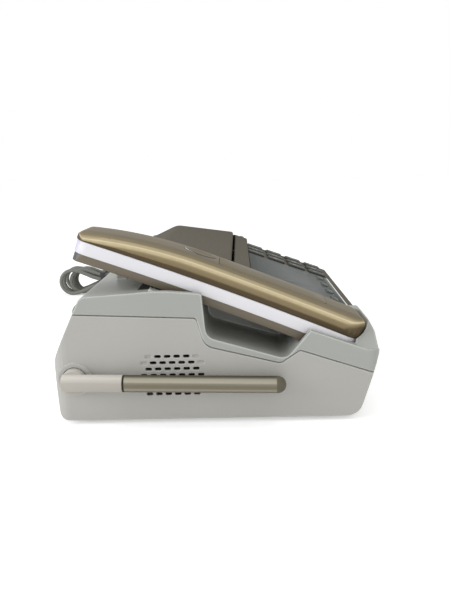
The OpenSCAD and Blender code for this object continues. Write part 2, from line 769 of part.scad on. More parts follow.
module paper_cover() color([0.47, 0.46, 0.42]) {
    top_z = deck_z + paper_cover_h;
    outline = [[paper_cover_y0, cover_base_z, 0.5], [paper_cover_y1, cover_base_z, 2],
               [paper_cover_y1, cover_base_z + 6, 3], [from_front(172), top_z, 16],
               [paper_cover_y0, cover_base_z + paper_cover_front_h, 2.5]];
    hollow = [[paper_cover_y0 + skin, cover_base_z - 5, 0], [paper_cover_y1 - skin, cover_base_z - 5, 0],
              [paper_cover_y1 - skin, cover_base_z + 5, 2], [from_front(171.5), top_z - skin, 14],
              [paper_cover_y0 + skin, cover_base_z + paper_cover_front_h - skin, 1]];
    difference() {
        across(panel_x0, panel_x1) polygon(rounded(outline));
        across(panel_x0 + skin, panel_x1 - skin) polygon(rounded(hollow));
    }
    bar(cover_axis, hinge_pin_r, panel_x0 - pin_l, panel_x0 + eps);
    bar(cover_axis, hinge_pin_r, panel_x1 - eps, panel_x1 + pin_l);
}

// Plate outline around a key's place
module key_form(w, l, r, v0, v1) {
    translate([0, 0, v0]) linear_extrude(v1 - v0)
        polygon(rounded(box_outline(-w / 2, -l / 2, w / 2, l / 2, r)));
}

// Hole for a key, wider all round by the slip gap
module key_hole(w, l, r) {
    key_form(w + 2 * slip_gap, l + 2 * slip_gap, r + slip_gap, 0, 2 * panel_rise);
}

// Moves to the place of dial key i, counted by rows
module at_dial(i) {
    translate([dial_x + (i % 3) * dial_pitch_x, dial_y - floor(i / 3) * dial_pitch_y, 0]) children();
}

// Moves to the place of function key i
module at_function(i) {
    translate([function_x + i * function_pitch, function_y, 0]) children();
}

module control_panel() color([0.45, 0.44, 0.4]) {
    ridge_top = panel_rise + ridge_h;
    outline = [[panel_front + 1, panel_gap, 1], [panel_rear - 4, panel_gap, 0],
               [panel_rear, panel_gap + 4, 0], [panel_rear, ridge_top - ridge_t, 0],
               [ridge_rear, ridge_top - ridge_t, 0.8], [ridge_rear, ridge_top, 0.8],
               [ridge_front, ridge_top, 1.2], [ridge_front, panel_rise, 0], [panel_front, panel_rise, 2.5]];
    on_slope() {
        difference() {
            across(panel_x0, panel_x1) polygon(rounded(outline));
            block([panel_x0 + skin, panel_front + skin + 1, -1],
                  [panel_x1 - skin, panel_rear - skin - 2, panel_rise - skin]);
            for (i = [0:11]) at_dial(i) key_hole(key_w, key_l, key_round);
            for (i = [0:3]) at_function(i) key_hole(function_w, function_l, function_l / 2 - eps);
            block([display_x0, display_y0, 0], [display_x1, display_y1, panel_rise + 1]);
        }
        bar(panel_axis_slope, hinge_pin_r, panel_x0 - pin_l, panel_x0 + eps);
        bar(panel_axis_slope, hinge_pin_r, panel_x1 - eps, panel_x1 + pin_l);
    }
}

sensor_w = 12;
module panel_base() color([0.3, 0.3, 0.3])
    on_slope() difference() {
        union() {
            block([panel_x0 + skin, panel_front + skin + 1, panel_gap + 0.2],
                  [panel_x1 - skin, panel_rear - skin - 4.2, panel_gap + 2]);
            for (x = [panel_x0 + 12, panel_x1 - 12]) for (y = [-118, -64])
                translate([x, y, panel_gap + 1]) cylinder(r = 3, h = key_board_v - panel_gap - 1);
        }
        block([roller_x0, document_slope_y - sensor_w / 2, -1],
              [roller_x1, document_slope_y + sensor_w / 2, panel_rise]);
    }

module image_sensor() color([0.12, 0.13, 0.14])
    on_slope() {
        block([roller_x0, document_slope_y - sensor_w / 2, 0.1],
              [roller_x1, document_slope_y + sensor_w / 2, panel_gap + 4]);
        block([roller_x0, document_slope_y - sensor_w / 2 - 2, panel_gap + 2],
              [roller_x1, document_slope_y + sensor_w / 2 + 2, panel_gap + 4]);
    }

module key_board() color([0.12, 0.38, 0.2])
    on_slope()
        block([panel_x0 + skin + 0.6, panel_front + skin + 2, key_board_v],
              [panel_x1 - skin - 0.6, -41, key_board_v + board_t]);

module display_module() color([0.35, 0.42, 0.42])
    on_slope()
        block([display_x0 + slip_gap, display_y0 + slip_gap, key_board_v + board_t],
              [display_x1 - slip_gap, display_y1 - slip_gap, panel_rise]);

module display_window() color([0.42, 0.46, 0.47])
    on_slope() difference() {
        translate([0, 0, panel_rise]) linear_extrude(window_t)
            polygon(rounded(box_outline(window_x0, window_y0, window_x1, window_y1, 3)));
        for (i = [0:3]) at_function(i) key_hole(function_w, function_l, function_l / 2 - eps);
    }

// Key with a cap of height h over the panel and a flange under its skin
module key(w, l, r, h) {
    key_form(w + 2 * key_flange, l + 2 * key_flange, r, flange_v - flange_t, flange_v);
    key_form(w, l, r, flange_v - eps, panel_rise + h - 0.8);
    key_form(w - 1.2, l - 1.2, r - 0.6, panel_rise + h - 0.8 - eps, panel_rise + h);
}

module dial_key(i) color([0.43, 0.43, 0.41])
    on_slope() at_dial(i) key(key_w, key_l, key_round, key_h);

module function_key(i) color([0.38, 0.41, 0.42])
    on_slope() at_function(i)
        key(function_w, function_l, function_l / 2 - eps, window_t + function_h);

// Cross-sections of the handset, as [height above the face, half width]
band_t = face_h + band_h;
top_t = band_t + crown_h;
lip_t = 3;
rear_round = 5;
front_round = 9;
crown_y = 20;
skirt_h = 14;
grip_y = 23.5;
grip_r = 60;
grip_depth = 1.4;
function crown(k, inner) =
    let (a = 90 * k / 6, start = lip_t + 1.5)
    [band_t + start + (crown_h - start - inner) * sin(a) ^ 0.8, (handset_w / 2 - inner) * cos(a) ^ 0.5];
function mirrored(p) = concat(p, [for (i = [len(p) - 1:-1:0]) [p[i][0], -p[i][1]]]);
function top_section(inner) = mirrored(concat(
    [[band_t - skirt_h, handset_w / 2 - inner]],
    [for (k = [0:5]) crown(k, inner)], [[crown(6, inner)[0], 0.4]]));
lip_section = mirrored([
    [band_t, handset_w / 2 - 1.4], [band_t + lip_t, handset_w / 2], [band_t + 2 * crown_h, handset_w / 2]]);

// Section swept along the handset's arch
module arched(section) {
    half = asin((handset_l / 2 + 2) / (handset_arch_r - 10));
    translate([0, 0, -handset_arch_r]) rotate([0, -90, 0]) rotate([0, 0, -half])
        rotate_extrude(angle = 2 * half, $fn = 720) translate([handset_arch_r, 0]) polygon(section);
}

// Section swept along the arch and, behind the crown, along a tighter one that falls to the rear end
module crowned(section) {
    fall = asin((handset_l / 2 + 4 - crown_y) / (crown_r - top_t));
    intersection() {
        arched(section);
        on_arch(crown_y) block([-handset_w, -2 * handset_l, -skirt_h], [handset_w, 0, 4 * top_t]);
    }
    on_arch(crown_y) translate([0, 0, top_t - crown_r]) rotate([0, -90, 0])
        rotate_extrude(angle = fall, $fn = 720) translate([crown_r - top_t, 0]) polygon(section);
}

// Handset's outline from above, moved inwards by t
module handset_plan(t) {
    half_l = handset_l / 2 - t;
    half_w = handset_w / 2 - t;
    translate([0, 0, -20]) linear_extrude(80)
        polygon(rounded([[-half_w, -half_l, front_plan_r - t], [half_w, -half_l, front_plan_r - t],
                         [half_w, half_l, rear_plan_r - t], [-half_w, half_l, rear_plan_r - t]]));
}

// Battery cover's place on the top shell, moved outwards by t
module battery_place(t) {
    translate([0, 0, band_t + 8]) linear_extrude(30)
        polygon(rounded(box_outline(-19 - t, -78 - t, 19 + t, 8 + t, 6 + t)));
}

// Handset's outline from the side, its upper ends round, moved inwards by t
module handset_profile(t) {
    half_l = handset_l / 2;
    rear_l = half_l - crown_y;
    front_t = top_t + arch_drop(half_l);
    rear_t = top_t + arch_drop(crown_y) - crown_y * rear_l / handset_arch_r - crown_r
        + sqrt(crown_r ^ 2 - rear_l ^ 2);
    corners = [[-half_l, -20, 0], [half_l, -20, 0], [half_l, rear_t, rear_round],
               [crown_y, rear_t + 0.3 * rear_l, 0], [-crown_y, top_t + 1, 0],
               [-half_l, front_t, front_round]];
    across(-handset_w, handset_w) polygon(rounded(inset(corners, t)));
}

// Shell of the handset's back before it is parted
module top_form() {
    difference() {
        intersection() {
            crowned(top_section(0));
            arched(lip_section);
            handset_plan(0);
            handset_profile(0);
        }
        intersection() {
            crowned(top_section(shell_wall));
            handset_plan(shell_wall + 0.5);
            handset_profile(shell_wall + 0.5);
        }
    }
}

module handset_top() color([0.6, 0.53, 0.4])
    in_handset() difference() {
        top_form();
        battery_place(0.25);
        translate([0, grip_y, top_t + grip_r - grip_depth]) sphere(r = grip_r);
    }

module battery_cover() color([0.6, 0.53, 0.4])
    in_handset() intersection() {
        top_form();
        battery_place(0);
    }

// Plate section between two heights
function plate_section(t0, t1, half0, half1) = [[t0, -half0], [t1, -half1], [t1, half1], [t0, half0]];

module handset_band() color([0.93, 0.93, 0.95])
    in_handset() difference() {
        intersection() {
            arched(plate_section(face_h, band_t, handset_w / 2 - 0.8, handset_w / 2 - 0.8));
            handset_plan(0.8);
        }
        intersection() {
            arched(plate_section(face_h - 1, band_t + 1, handset_w / 2 - 3.4, handset_w / 2 - 3.4));
            handset_plan(3.4);
        }
    }

module handset_face() color([0.42, 0.38, 0.33])
    in_handset() difference() {
        intersection() {
            arched(plate_section(0, face_h, handset_w / 2 - 3.2, handset_w / 2 - 1.4));
            handset_plan(1.6);
        }
        intersection() {
            arched(plate_section(shell_wall, face_h + 1, handset_w / 2 - 5.2, handset_w / 2 - 5.2));
            handset_plan(5.2);
        }
        for (a = [0:30:330]) for (r = [5, 9])
            translate([r * cos(a), receiver_y + r * sin(a), -9]) cylinder(r = 0.9, h = 20);
        for (x = [-6, -3, 0, 3, 6]) translate([x, contact_y, -9]) cylinder(r = 0.8, h = 20);
    }

receiver_y = handset_l / 2 - 24;
module handset_receiver() color([0.25, 0.25, 0.26])
    in_handset() on_arch(receiver_y) translate([0, 0, shell_wall + 0.08]) cylinder(r = 15, h = 7);

handset_board_t = face_h - 2;
module handset_board() color([0.12, 0.38, 0.2])
    in_handset() {
        block([-18, from_chin(12), handset_board_t], [18, receiver_y - 22, handset_board_t + board_t]);
        for (y = [from_chin(28), receiver_y - 32])
            on_arch(y) translate([0, 0, shell_wall + eps])
                cylinder(r = 3, h = handset_board_t + board_t / 2 - arch_drop(y) - shell_wall);
    }

module handset_battery() color([0.3, 0.34, 0.42])
    in_handset() block([-17, -66, handset_board_t + board_t], [17, 6, handset_board_t + 14]);

front_pad_y = from_chin(36);
rear_pad_y = from_chin(150);
module handset_pads() color([0.1, 0.1, 0.1])
    in_handset() for (side = [-1, 1]) {
        on_arch(front_pad_y) translate([18 * side, 0, 0.3 - rest_gap])
            cylinder(r = 4, h = rest_gap - 0.3 - eps);
        on_arch(rear_pad_y) translate([22 * side, 0, 0])
            block([-2.5, -8, 0.3 - rest_gap], [2.5, 8, -eps]);
    }

// Antenna pieces, drawn along -Y from the hinge and then lowered by its droop
module in_antenna() {
    translate([antenna_x, antenna_axis[0], antenna_axis[1]]) rotate([90 + antenna_droop, 0, 0]) children();
}

module antenna_base() color([0.82, 0.8, 0.76]) {
    bar(antenna_axis, antenna_hub_r, antenna_x, left_x - antenna_gap);
    bar(antenna_axis, antenna_pin_r, left_x - antenna_gap - eps, left_x + 3 * wall + 1);
    in_antenna() {
        translate([0, 0, -antenna_heel]) cylinder(r = antenna_base_r, h = antenna_joint + antenna_heel);
        translate([0, 0, antenna_joint - eps]) cylinder(r = antenna_r - antenna_wall, h = spigot_l + eps);
    }
}

module antenna_tube() color([0.6, 0.57, 0.49])
    in_antenna() difference() {
        union() {
            translate([0, 0, antenna_joint]) cylinder(r = antenna_r, h = tube_l);
            translate([0, 0, antenna_joint + tube_l]) sphere(r = antenna_r);
        }
        translate([0, 0, antenna_joint - 1]) cylinder(r = antenna_r - antenna_wall, h = bore_l + 1);
    }

module antenna_wire() color([0.75, 0.62, 0.35])
    in_antenna() translate([0, 0, antenna_joint + spigot_l]) cylinder(r = 0.8, h = bore_l - spigot_l - 6);

module cord_gland() color([0.2, 0.2, 0.21])
    translate([gland_x, from_rear(wall + rear_lean + 3), gland_z]) rotate([-90, 0, 0]) {
        cylinder(r = 8, h = 3);
        cylinder(r = 4.9, h = wall + rear_lean + 4);
        translate([0, 0, wall + rear_lean + 3]) cylinder(r1 = 6, r2 = 4, h = gland_l);
    }

// Points of a smooth curve through p, n to each span
function curve_at(p, i, s) =
    let (a = p[max(0, i - 1)], b = p[i], c = p[i + 1], d = p[min(len(p) - 1, i + 2)])
    0.5 * (2 * b + (c - a) * s + (2 * a - 5 * b + 4 * c - d) * s ^ 2 + (3 * b - a - 3 * c + d) * s ^ 3);
function curve(p, n) = concat(
    [for (i = [0:len(p) - 2]) each [for (k = [0:n - 1]) curve_at(p, i, k / n)]], [p[len(p) - 1]]);

// Tube of the given sides along points, with flat ends square to its first and last steps
function tangent(p, i) = unit(p[min(len(p) - 1, i + 1)] - p[max(0, i - 1)]);
module tube(p, r, sides, start) {
    frames = [for (i = 0, n = unit(start - (start * tangent(p, 0)) * tangent(p, 0)); i < len(p);
        i = i + 1, n = i < len(p) ? unit(n - (n * tangent(p, i)) * tangent(p, i)) : n) n];
    rings = [for (i = [0:len(p) - 1]) let (n = frames[i], b = cross(tangent(p, i), n))
        each [for (k = [0:sides - 1]) p[i] + r * (cos(360 * k / sides) * n + sin(360 * k / sides) * b)]];
    walls = [for (i = [0:len(p) - 2]) each [for (k = [0:sides - 1])
        let (a = i * sides + k, b = i * sides + (k + 1) % sides)
        each [[a, a + sides, b], [b, a + sides, b + sides]]]];
    last = (len(p) - 1) * sides;
    first_cap = [for (k = [1:sides - 2]) [0, k, k + 1]];
    last_cap = [for (k = [1:sides - 2]) [last, last + k + 1, last + k]];
    polyhedron(rings, concat(walls, first_cap, last_cap));
}

// Hank's centre line: flat loops side by side, standing on edge and drawn together by the tie
function mixed(a, b, s) = a + (b - a) * s;
function hank_side(turn) =
    let (i = floor(turn), q = (turn - i) * 4, e = hank_far + hank_reach[i], r = hank_radii[i],
         n = mixed(r, hank_radii[min(i + 1, hank_loops)], q - 3))
    q < 1 ? drawn(mixed(-hank_near, e, q), e, -r, -hank_waists[i])
    : q < 2 ? [e + r * sin(180 * (q - 1)), -r * cos(180 * (q - 1))]
    : q < 3 ? drawn(mixed(e, -hank_near, q - 2), e, r, hank_waists[i])
    : [-hank_near - n * sin(180 * (q - 3)), n * cos(180 * (q - 3))];
function drawn(y, e, r, waist) =
    let (s = y < 0 ? -y / hank_near : y / e) [y, mixed(waist, r, (1 - cos(180 * s)) / 2)];
function hank_depth(turn) =
    let (i = floor(turn), s = max(0, (turn - i) * 4 - 3)) hank_layer * (i + s ^ 2 * (3 - 2 * s));
hank_line = concat(
    [[hank_x, hank_y0, lie_z]],
    [for (k = [0:hank_steps * (hank_loops + 0.75)]) let (turn = k / hank_steps, s = hank_side(turn))
        [hank_x + hank_depth(turn), tie_y + s[0], hank_z + s[1]]],
    [[hank_x + hank_layer * hank_loops, hank_y0, hank_z + hank_radii[hank_loops]]]);
hank_end = hank_line[len(hank_line) - 1];

// Least distance between parts of the hank more than half a loop apart along it
hank_gap = min([for (i = [0:len(hank_line) - 1]) for (j = [i + hank_steps / 2:len(hank_line) - 1])
    norm(hank_line[i] - hank_line[j])]) - cord_d;
echo(hank_gap = hank_gap);

module power_cord_lead() color([0.47, 0.48, 0.45]) tube(curve(lead_points, 3), cord_r, 8, [1, 0, 0]);

module power_cord_hank() color([0.47, 0.48, 0.45]) tube(hank_line, cord_r, 6, [1, 0, 0]);

module power_cord_tail() color([0.47, 0.48, 0.45])
    tube(curve(concat([hank_end, hank_end - [0, cord_d, 0]], tail_points_end), 3), cord_r, 8, [1, 0, 0]);

tie_w = 6;
tie_t = 1.2;
tie_gap = 0.8;
module cord_tie() color([0.08, 0.08, 0.08]) {
    half_z = max(hank_waists) + cord_r + tie_gap;
    low_x = hank_x - cord_r;
    high_x = hank_x + hank_layer * hank_loops + cord_r;
    difference() {
        block([low_x - tie_t, tie_y - tie_w / 2, hank_z - half_z - tie_t],
              [high_x + tie_t, tie_y + tie_w / 2, hank_z + half_z + tie_t]);
        block([low_x, tie_y - tie_w, hank_z - half_z], [high_x, tie_y + tie_w, hank_z + half_z]);
    }
}

module power_plug() color([0.2, 0.2, 0.21]) {
    last = tail_points_end[len(tail_points_end) - 1];
    before = tail_points_end[len(tail_points_end) - 2];
    way = unit(last - before);
    translate(last) rotate([0, 90, atan2(way[1], way[0])]) {
        cylinder(r1 = 4, r2 = 7, h = 8);
        translate([-8, -11, 8 - eps]) cube([16, 22, plug_l - 8]);
        for (y = [-6.35, 6.35]) translate([-3.2, y - 0.75, plug_l - eps]) cube([6.4, 1.5, 17]);
    }
}

lower_case();
upper_cover();
rubber_feet();
case_screws();
main_board();
power_board();
speaker();
line_jacks();
feed_frame();
roller_bushes();
motor_plate();
feed_motor();
thermal_head();
paper_tray();
charge_contacts();
motor_pinion();
platen_roller();
platen_gear();
document_roller();
document_gear();
paper_cover();
control_panel();
panel_base();
display_window();
display_module();
key_board();
image_sensor();
handset_top();
handset_band();
handset_face();
battery_cover();
handset_battery();
handset_board();
handset_receiver();
handset_pads();
antenna_base();
antenna_tube();
antenna_wire();
cord_gland();
power_cord_lead();
power_cord_hank();
power_cord_tail();
cord_tie();
power_plug();
for (i = [0:11]) dial_key(i);
for (i = [0:3]) function_key(i);
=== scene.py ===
"""Looks of the fax phone: materials, softened shells, key numerals, the mains cord, light and camera."""

import json
import math

import bmesh
import bpy
from mathutils import Matrix, Vector
from mathutils.bvhtree import BVHTree


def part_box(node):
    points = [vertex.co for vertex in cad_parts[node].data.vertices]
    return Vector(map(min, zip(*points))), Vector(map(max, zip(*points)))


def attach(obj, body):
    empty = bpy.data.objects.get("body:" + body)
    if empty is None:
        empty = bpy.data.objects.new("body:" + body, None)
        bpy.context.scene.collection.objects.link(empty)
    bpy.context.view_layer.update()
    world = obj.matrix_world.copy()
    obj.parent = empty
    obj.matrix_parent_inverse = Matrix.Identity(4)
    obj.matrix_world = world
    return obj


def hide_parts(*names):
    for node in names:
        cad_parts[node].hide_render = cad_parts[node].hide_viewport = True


MM = 0.001

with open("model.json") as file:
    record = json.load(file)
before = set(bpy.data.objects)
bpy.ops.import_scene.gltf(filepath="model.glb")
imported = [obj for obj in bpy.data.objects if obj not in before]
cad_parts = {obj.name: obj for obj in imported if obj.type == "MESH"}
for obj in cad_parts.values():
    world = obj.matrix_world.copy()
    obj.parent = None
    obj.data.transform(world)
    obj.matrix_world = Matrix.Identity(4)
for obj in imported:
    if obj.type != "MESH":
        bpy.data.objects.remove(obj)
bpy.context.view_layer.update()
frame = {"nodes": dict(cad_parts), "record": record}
NODES = frame["nodes"]
BODY_OF = {node: body for body, nodes in frame["record"]["behaviour"]["bodies"].items() for node in nodes}
SLOT_OF = {part["node"]: part["material_slot"] for part in frame["record"]["subparts"]}


def make_camera():
    """A camera at the photograph's place: left of the phone, a little above it."""
    place = Vector((-0.606, -0.02006, 0.18788))
    pitch, yaw, roll = math.radians(11.85), math.radians(1.45), math.radians(1.6)
    ahead = Vector((math.cos(pitch) * math.cos(yaw), math.cos(pitch) * math.sin(yaw), -math.sin(pitch)))
    level = ahead.cross(Vector((0, 0, 1))).normalized()
    upright = level.cross(ahead)
    right = level * math.cos(roll) - upright * math.sin(roll)
    up = upright * math.cos(roll) + level * math.sin(roll)
    data = bpy.data.cameras.new("photo_camera")
    data.sensor_fit = "AUTO"
    data.sensor_width = 36
    data.lens = 39
    data.clip_start, data.clip_end = 0.01, 50
    camera = bpy.data.objects.new("photo_camera", data)
    camera.matrix_world = Matrix((
        (right.x, up.x, -ahead.x, place.x),
        (right.y, up.y, -ahead.y, place.y),
        (right.z, up.z, -ahead.z, place.z),
        (0, 0, 0, 1)))
    bpy.context.scene.collection.objects.link(camera)
    bpy.context.scene.camera = camera


make_camera()

# The mains cord in millimetres: from its gland along LEAD, through the hank's loops and along TAIL to its plug.
CORD_D = 5.4
ROUTE_STEPS = 6
LOOP_STEPS = 48
LIE_Z = CORD_D / 2 + 0.2
GLAND_END = (135, 145, 36)
HANK_X, TIE_Y = 350, 186
HANK_NEAR, HANK_FAR = 46, 46.5
HANK_Y0 = TIE_Y - HANK_NEAR - CORD_D
LEAD = [GLAND_END, (135, 152, 36), (135.9, 160.9, 34.7), (138.9, 169.4, 31), (145, 176.6, 24.8),
        (154.6, 181.5, 17.4), (167, 183.4, 10.4), (181, 182, 5.4), (195.5, 177, 3.1), (209, 168.5, LIE_Z),
        (220.5, 156.5, LIE_Z), (230.5, 142, LIE_Z), (240.5, 127, LIE_Z), (252, 113, LIE_Z), (267, 102, LIE_Z),
        (285, 95, LIE_Z), (304, 92.5, LIE_Z), (321, 95, LIE_Z), (335.5, 102.5, LIE_Z), (345.5, 114, LIE_Z),
        (HANK_X - 0.4, 125.4, LIE_Z), (HANK_X, HANK_Y0, LIE_Z)]
TAIL = [(380, 121, 37), (379.4, 111, 34), (376.5, 98, 26.8), (369.5, 85.5, 19), (357, 75, 13), (341, 67, 11),
        (325, 61, 11), (309, 55, 11), (292, 50, 11)]
HANK_LOOPS = 5
LAST_TURN = 0.75
HANK_RADII = [17.4, 16.4, 17.1, 16.4, 17.2, 16.8]
HANK_REACH = [-0.5, -13.3, -1.6, -14.9, -18.2, -1.5]
HANK_WAISTS = [3.4, 8.4, 3.6, 5.4, 9.2, 4]
HANK_LAYER = CORD_D + 0.6
HANK_Z = HANK_RADII[0] + LIE_Z


def smooth_route(points, steps):
    """A Catmull-Rom curve through points, with that many steps to each span."""
    points = [Vector(p) for p in points]
    route = []
    for i in range(len(points) - 1):
        a, b, c = points[max(0, i - 1)], points[i], points[i + 1]
        d = points[min(len(points) - 1, i + 2)]
        for k in range(steps):
            s = k / steps
            route.append(0.5 * (2 * b + (c - a) * s + (2 * a - 5 * b + 4 * c - d) * s ** 2
                                + (3 * b - a - 3 * c + d) * s ** 3))
    return route + [points[-1]]


def mixed(low, high, part):
    """The place between two numbers at a part of the way."""
    return low + (high - low) * part


def drawn(y, end, radius, waist):
    """Place on a run of the hank, drawn in to the waist at the tie."""
    part = -y / HANK_NEAR if y < 0 else y / end
    return y, mixed(waist, radius, (1 - math.cos(math.pi * part)) / 2)


def hank_point(turn):
    """Centre line of the hank: flat loops side by side, standing on edge and drawn together by the tie."""
    loop = min(int(turn), HANK_LOOPS)
    quarter = (turn - loop) * 4
    end = HANK_FAR + HANK_REACH[loop]
    radius, waist = HANK_RADII[loop], HANK_WAISTS[loop]
    bend = math.pi * (quarter % 1)
    depth = loop
    if quarter < 1:
        y, z = drawn(mixed(-HANK_NEAR, end, quarter), end, -radius, -waist)
    elif quarter < 2:
        y, z = end + radius * math.sin(bend), -radius * math.cos(bend)
    elif quarter < 3:
        y, z = drawn(mixed(end, -HANK_NEAR, quarter - 2), end, radius, waist)
    else:
        part = (quarter - 3) ** 2 * (9 - 2 * quarter)
        radius = mixed(radius, HANK_RADII[min(loop + 1, HANK_LOOPS)], part)
        y, z = -HANK_NEAR - radius * math.sin(bend), radius * math.cos(bend)
        depth = loop + part
    return Vector((HANK_X + HANK_LAYER * depth, TIE_Y + y, HANK_Z + z))


def cord_route():
    """The mains cord from its gland to its plug, in millimetres."""
    hank = [hank_point(i / LOOP_STEPS) for i in range(round(LOOP_STEPS * (HANK_LOOPS + LAST_TURN)))]
    leave = Vector((HANK_X + HANK_LAYER * HANK_LOOPS, HANK_Y0, HANK_Z + HANK_RADII[HANK_LOOPS]))
    tail = smooth_route([leave, leave - Vector((0, CORD_D, 0)), *TAIL], ROUTE_STEPS)
    return smooth_route(LEAD, ROUTE_STEPS) + hank + tail


def make_cord():
    """The whole cord as one curve, which stands in for the cord's three CAD pieces and hides them.

    The points' radius holds its thickness, because Blender adds that radius to the curve's box.
    """
    data = bpy.data.curves.new("mains_cord", "CURVE")
    data.dimensions = "3D"
    data.bevel_depth = 1.0
    data.bevel_resolution = 4
    data.use_fill_caps = True
    route = cord_route()
    spline = data.splines.new("POLY")
    spline.points.add(len(route) - 1)
    for point, place in zip(spline.points, route):
        point.co = (*(place * MM), 1)
        point.radius = CORD_D / 2 * MM
    spline.use_smooth = True
    cord = bpy.data.objects.new("mains_cord", data)
    bpy.context.scene.collection.objects.link(cord)
    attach(cord, "base")
    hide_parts("power_cord_lead", "power_cord_hank", "power_cord_tail")
    painted(cord, "cord_grey")


def srgb(red, green, blue):
    """Linear colour of a screen colour given from 0 to 255."""
    def linear(value):
        value /= 255
        return value / 12.92 if value <= 0.04045 else ((value + 0.055) / 1.055) ** 2.4
    return linear(red), linear(green), linear(blue), 1.0


def shaded(colour, factor):
    """A colour made darker or lighter."""
    return (*[min(1.0, c * factor) for c in colour[:3]], 1.0)


EDGE = 0.7 * MM
EDGE_SAMPLES = 6
# How far the rounded normal has turned from the face's own where the painted edge highlight and the painted seam
# shade begin and where they are full.
EDGE_SHINE_RANGE, SEAM_SHADE_RANGE = (0.985, 0.86), (0.12, 0.3)
DRIFT_SCALE, GRAIN_SCALE = 9, 2600


class Paint:
    """A node material around one principled shader; edge is the radius that its edges seem to have."""

    edge = EDGE

    def __init__(self, name, **sockets):
        self.material = bpy.data.materials.new(name)
        self.material.use_nodes = True
        self.tree = self.material.node_tree
        self.shader = self.tree.nodes["Principled BSDF"]
        for socket, value in sockets.items():
            self.shader.inputs[socket.replace("_", " ")].default_value = value
        self.places = self.add("ShaderNodeTexCoord").outputs["Object"]

    def add(self, kind, **settings):
        node = self.tree.nodes.new(kind)
        for key, value in settings.items():
            setattr(node, key, value)
        return node

    def link(self, source, target):
        self.tree.links.new(source, target)

    def stretched(self, scale, turn_x=0.0):
        """Coordinates turned about X and then scaled by axis."""
        turned = self.add("ShaderNodeMapping")
        turned.inputs["Rotation"].default_value = (turn_x, 0, 0)
        sized = self.add("ShaderNodeMapping")
        sized.inputs["Scale"].default_value = scale
        self.link(self.places, turned.inputs["Vector"])
        self.link(turned.outputs["Vector"], sized.inputs["Vector"])
        return sized.outputs["Vector"]

    def noise(self, scale, detail=2.0, places=None):
        node = self.add("ShaderNodeTexNoise")
        node.inputs["Scale"].default_value = scale
        node.inputs["Detail"].default_value = detail
        self.link(places or self.places, node.inputs["Vector"])
        return node.outputs["Fac"]

    def ramp(self, factor, low, high, start=0.3, end=0.7):
        node = self.add("ShaderNodeValToRGB")
        first, last = node.color_ramp.elements
        first.position, first.color = start, low
        last.position, last.color = end, high
        self.link(factor, node.inputs["Fac"])
        return node.outputs["Color"]

    def colour(self, source):
        self.link(source, self.shader.inputs["Base Color"])
        return self

    def rough(self, factor, low, high):
        node = self.add("ShaderNodeMapRange")
        node.inputs["To Min"].default_value = low
        node.inputs["To Max"].default_value = high
        self.link(factor, node.inputs["Value"])
        self.link(node.outputs["Result"], self.shader.inputs["Roughness"])
        return self

    def bump(self, factor, strength, distance):
        node = self.add("ShaderNodeBump")
        node.inputs["Strength"].default_value = strength
        node.inputs["Distance"].default_value = distance
        self.link(factor, node.inputs["Height"])
        edge = self.add("ShaderNodeBevel", samples=EDGE_SAMPLES)
        edge.inputs["Radius"].default_value = self.edge
        self.link(edge.outputs["Normal"], node.inputs["Normal"])
        self.link(node.outputs["Normal"], self.shader.inputs["Normal"])
        return self

    def facing(self, way):
        """How far the surface faces a way, from -1 to 1."""
        node = self.add("ShaderNodeVectorMath", operation="DOT_PRODUCT")
        self.link(self.add("ShaderNodeTexCoord").outputs["Normal"], node.inputs[0])
        node.inputs[1].default_value = way
        return node.outputs["Value"]

    def offset(self, way, centre):
        """Distance along a way from a centre, in metres."""
        node = self.add("ShaderNodeVectorMath", operation="DOT_PRODUCT")
        self.link(self.places, node.inputs[0])
        node.inputs[1].default_value = way
        return self.maths("SUBTRACT", node.outputs["Value"], Vector(way).dot(centre))

    def spread(self, value, start, end):
        """A value brought to the range 0 to 1."""
        node = self.add("ShaderNodeMapRange")
        node.inputs["From Min"].default_value = start
        node.inputs["From Max"].default_value = end
        self.link(value, node.inputs["Value"])
        return node.outputs["Result"]

    def maths(self, operation, first, second):
        """One sum with sockets or numbers."""
        node = self.add("ShaderNodeMath", operation=operation)
        for socket, value in zip(node.inputs, (first, second)):
            if isinstance(value, (int, float)):
                socket.default_value = value
            else:
                self.link(value, socket)
        return node.outputs[0]

    def edges(self):
        """How near the surface is to one of its outer edges, from 0 to 1."""
        bevel = self.add("ShaderNodeBevel", samples=EDGE_SAMPLES)
        bevel.inputs["Radius"].default_value = 1.6 * self.edge
        turned = self.add("ShaderNodeVectorMath", operation="DOT_PRODUCT")
        self.link(bevel.outputs["Normal"], turned.inputs[0])
        self.link(self.add("ShaderNodeNewGeometry").outputs["Normal"], turned.inputs[1])
        return self.spread(turned.outputs["Value"], *EDGE_SHINE_RANGE)

    def seam(self, width):
        """How near the surface is to an edge below it, from 0 to 1, for a line of painted shade."""
        bevel = self.add("ShaderNodeBevel", samples=EDGE_SAMPLES)
        bevel.inputs["Radius"].default_value = 2 * width
        tilt = self.add("ShaderNodeVectorMath", operation="SUBTRACT")
        self.link(bevel.outputs["Normal"], tilt.inputs[0])
        self.link(self.add("ShaderNodeNewGeometry").outputs["Normal"], tilt.inputs[1])
        down = self.add("ShaderNodeVectorMath", operation="DOT_PRODUCT")
        self.link(tilt.outputs["Vector"], down.inputs[0])
        down.inputs[1].default_value = (0, 0, -1)
        return self.spread(down.outputs["Value"], *SEAM_SHADE_RANGE)

    def mixed(self, factor, first, second):
        """Two colours or colour sockets mixed by a factor socket."""
        node = self.add("ShaderNodeMix", data_type="RGBA")
        for socket, value in ((node.inputs[6], first), (node.inputs[7], second)):
            if isinstance(value, tuple):
                socket.default_value = value
            else:
                self.link(value, socket)
        self.link(factor, node.inputs[0])
        return node.outputs[2]


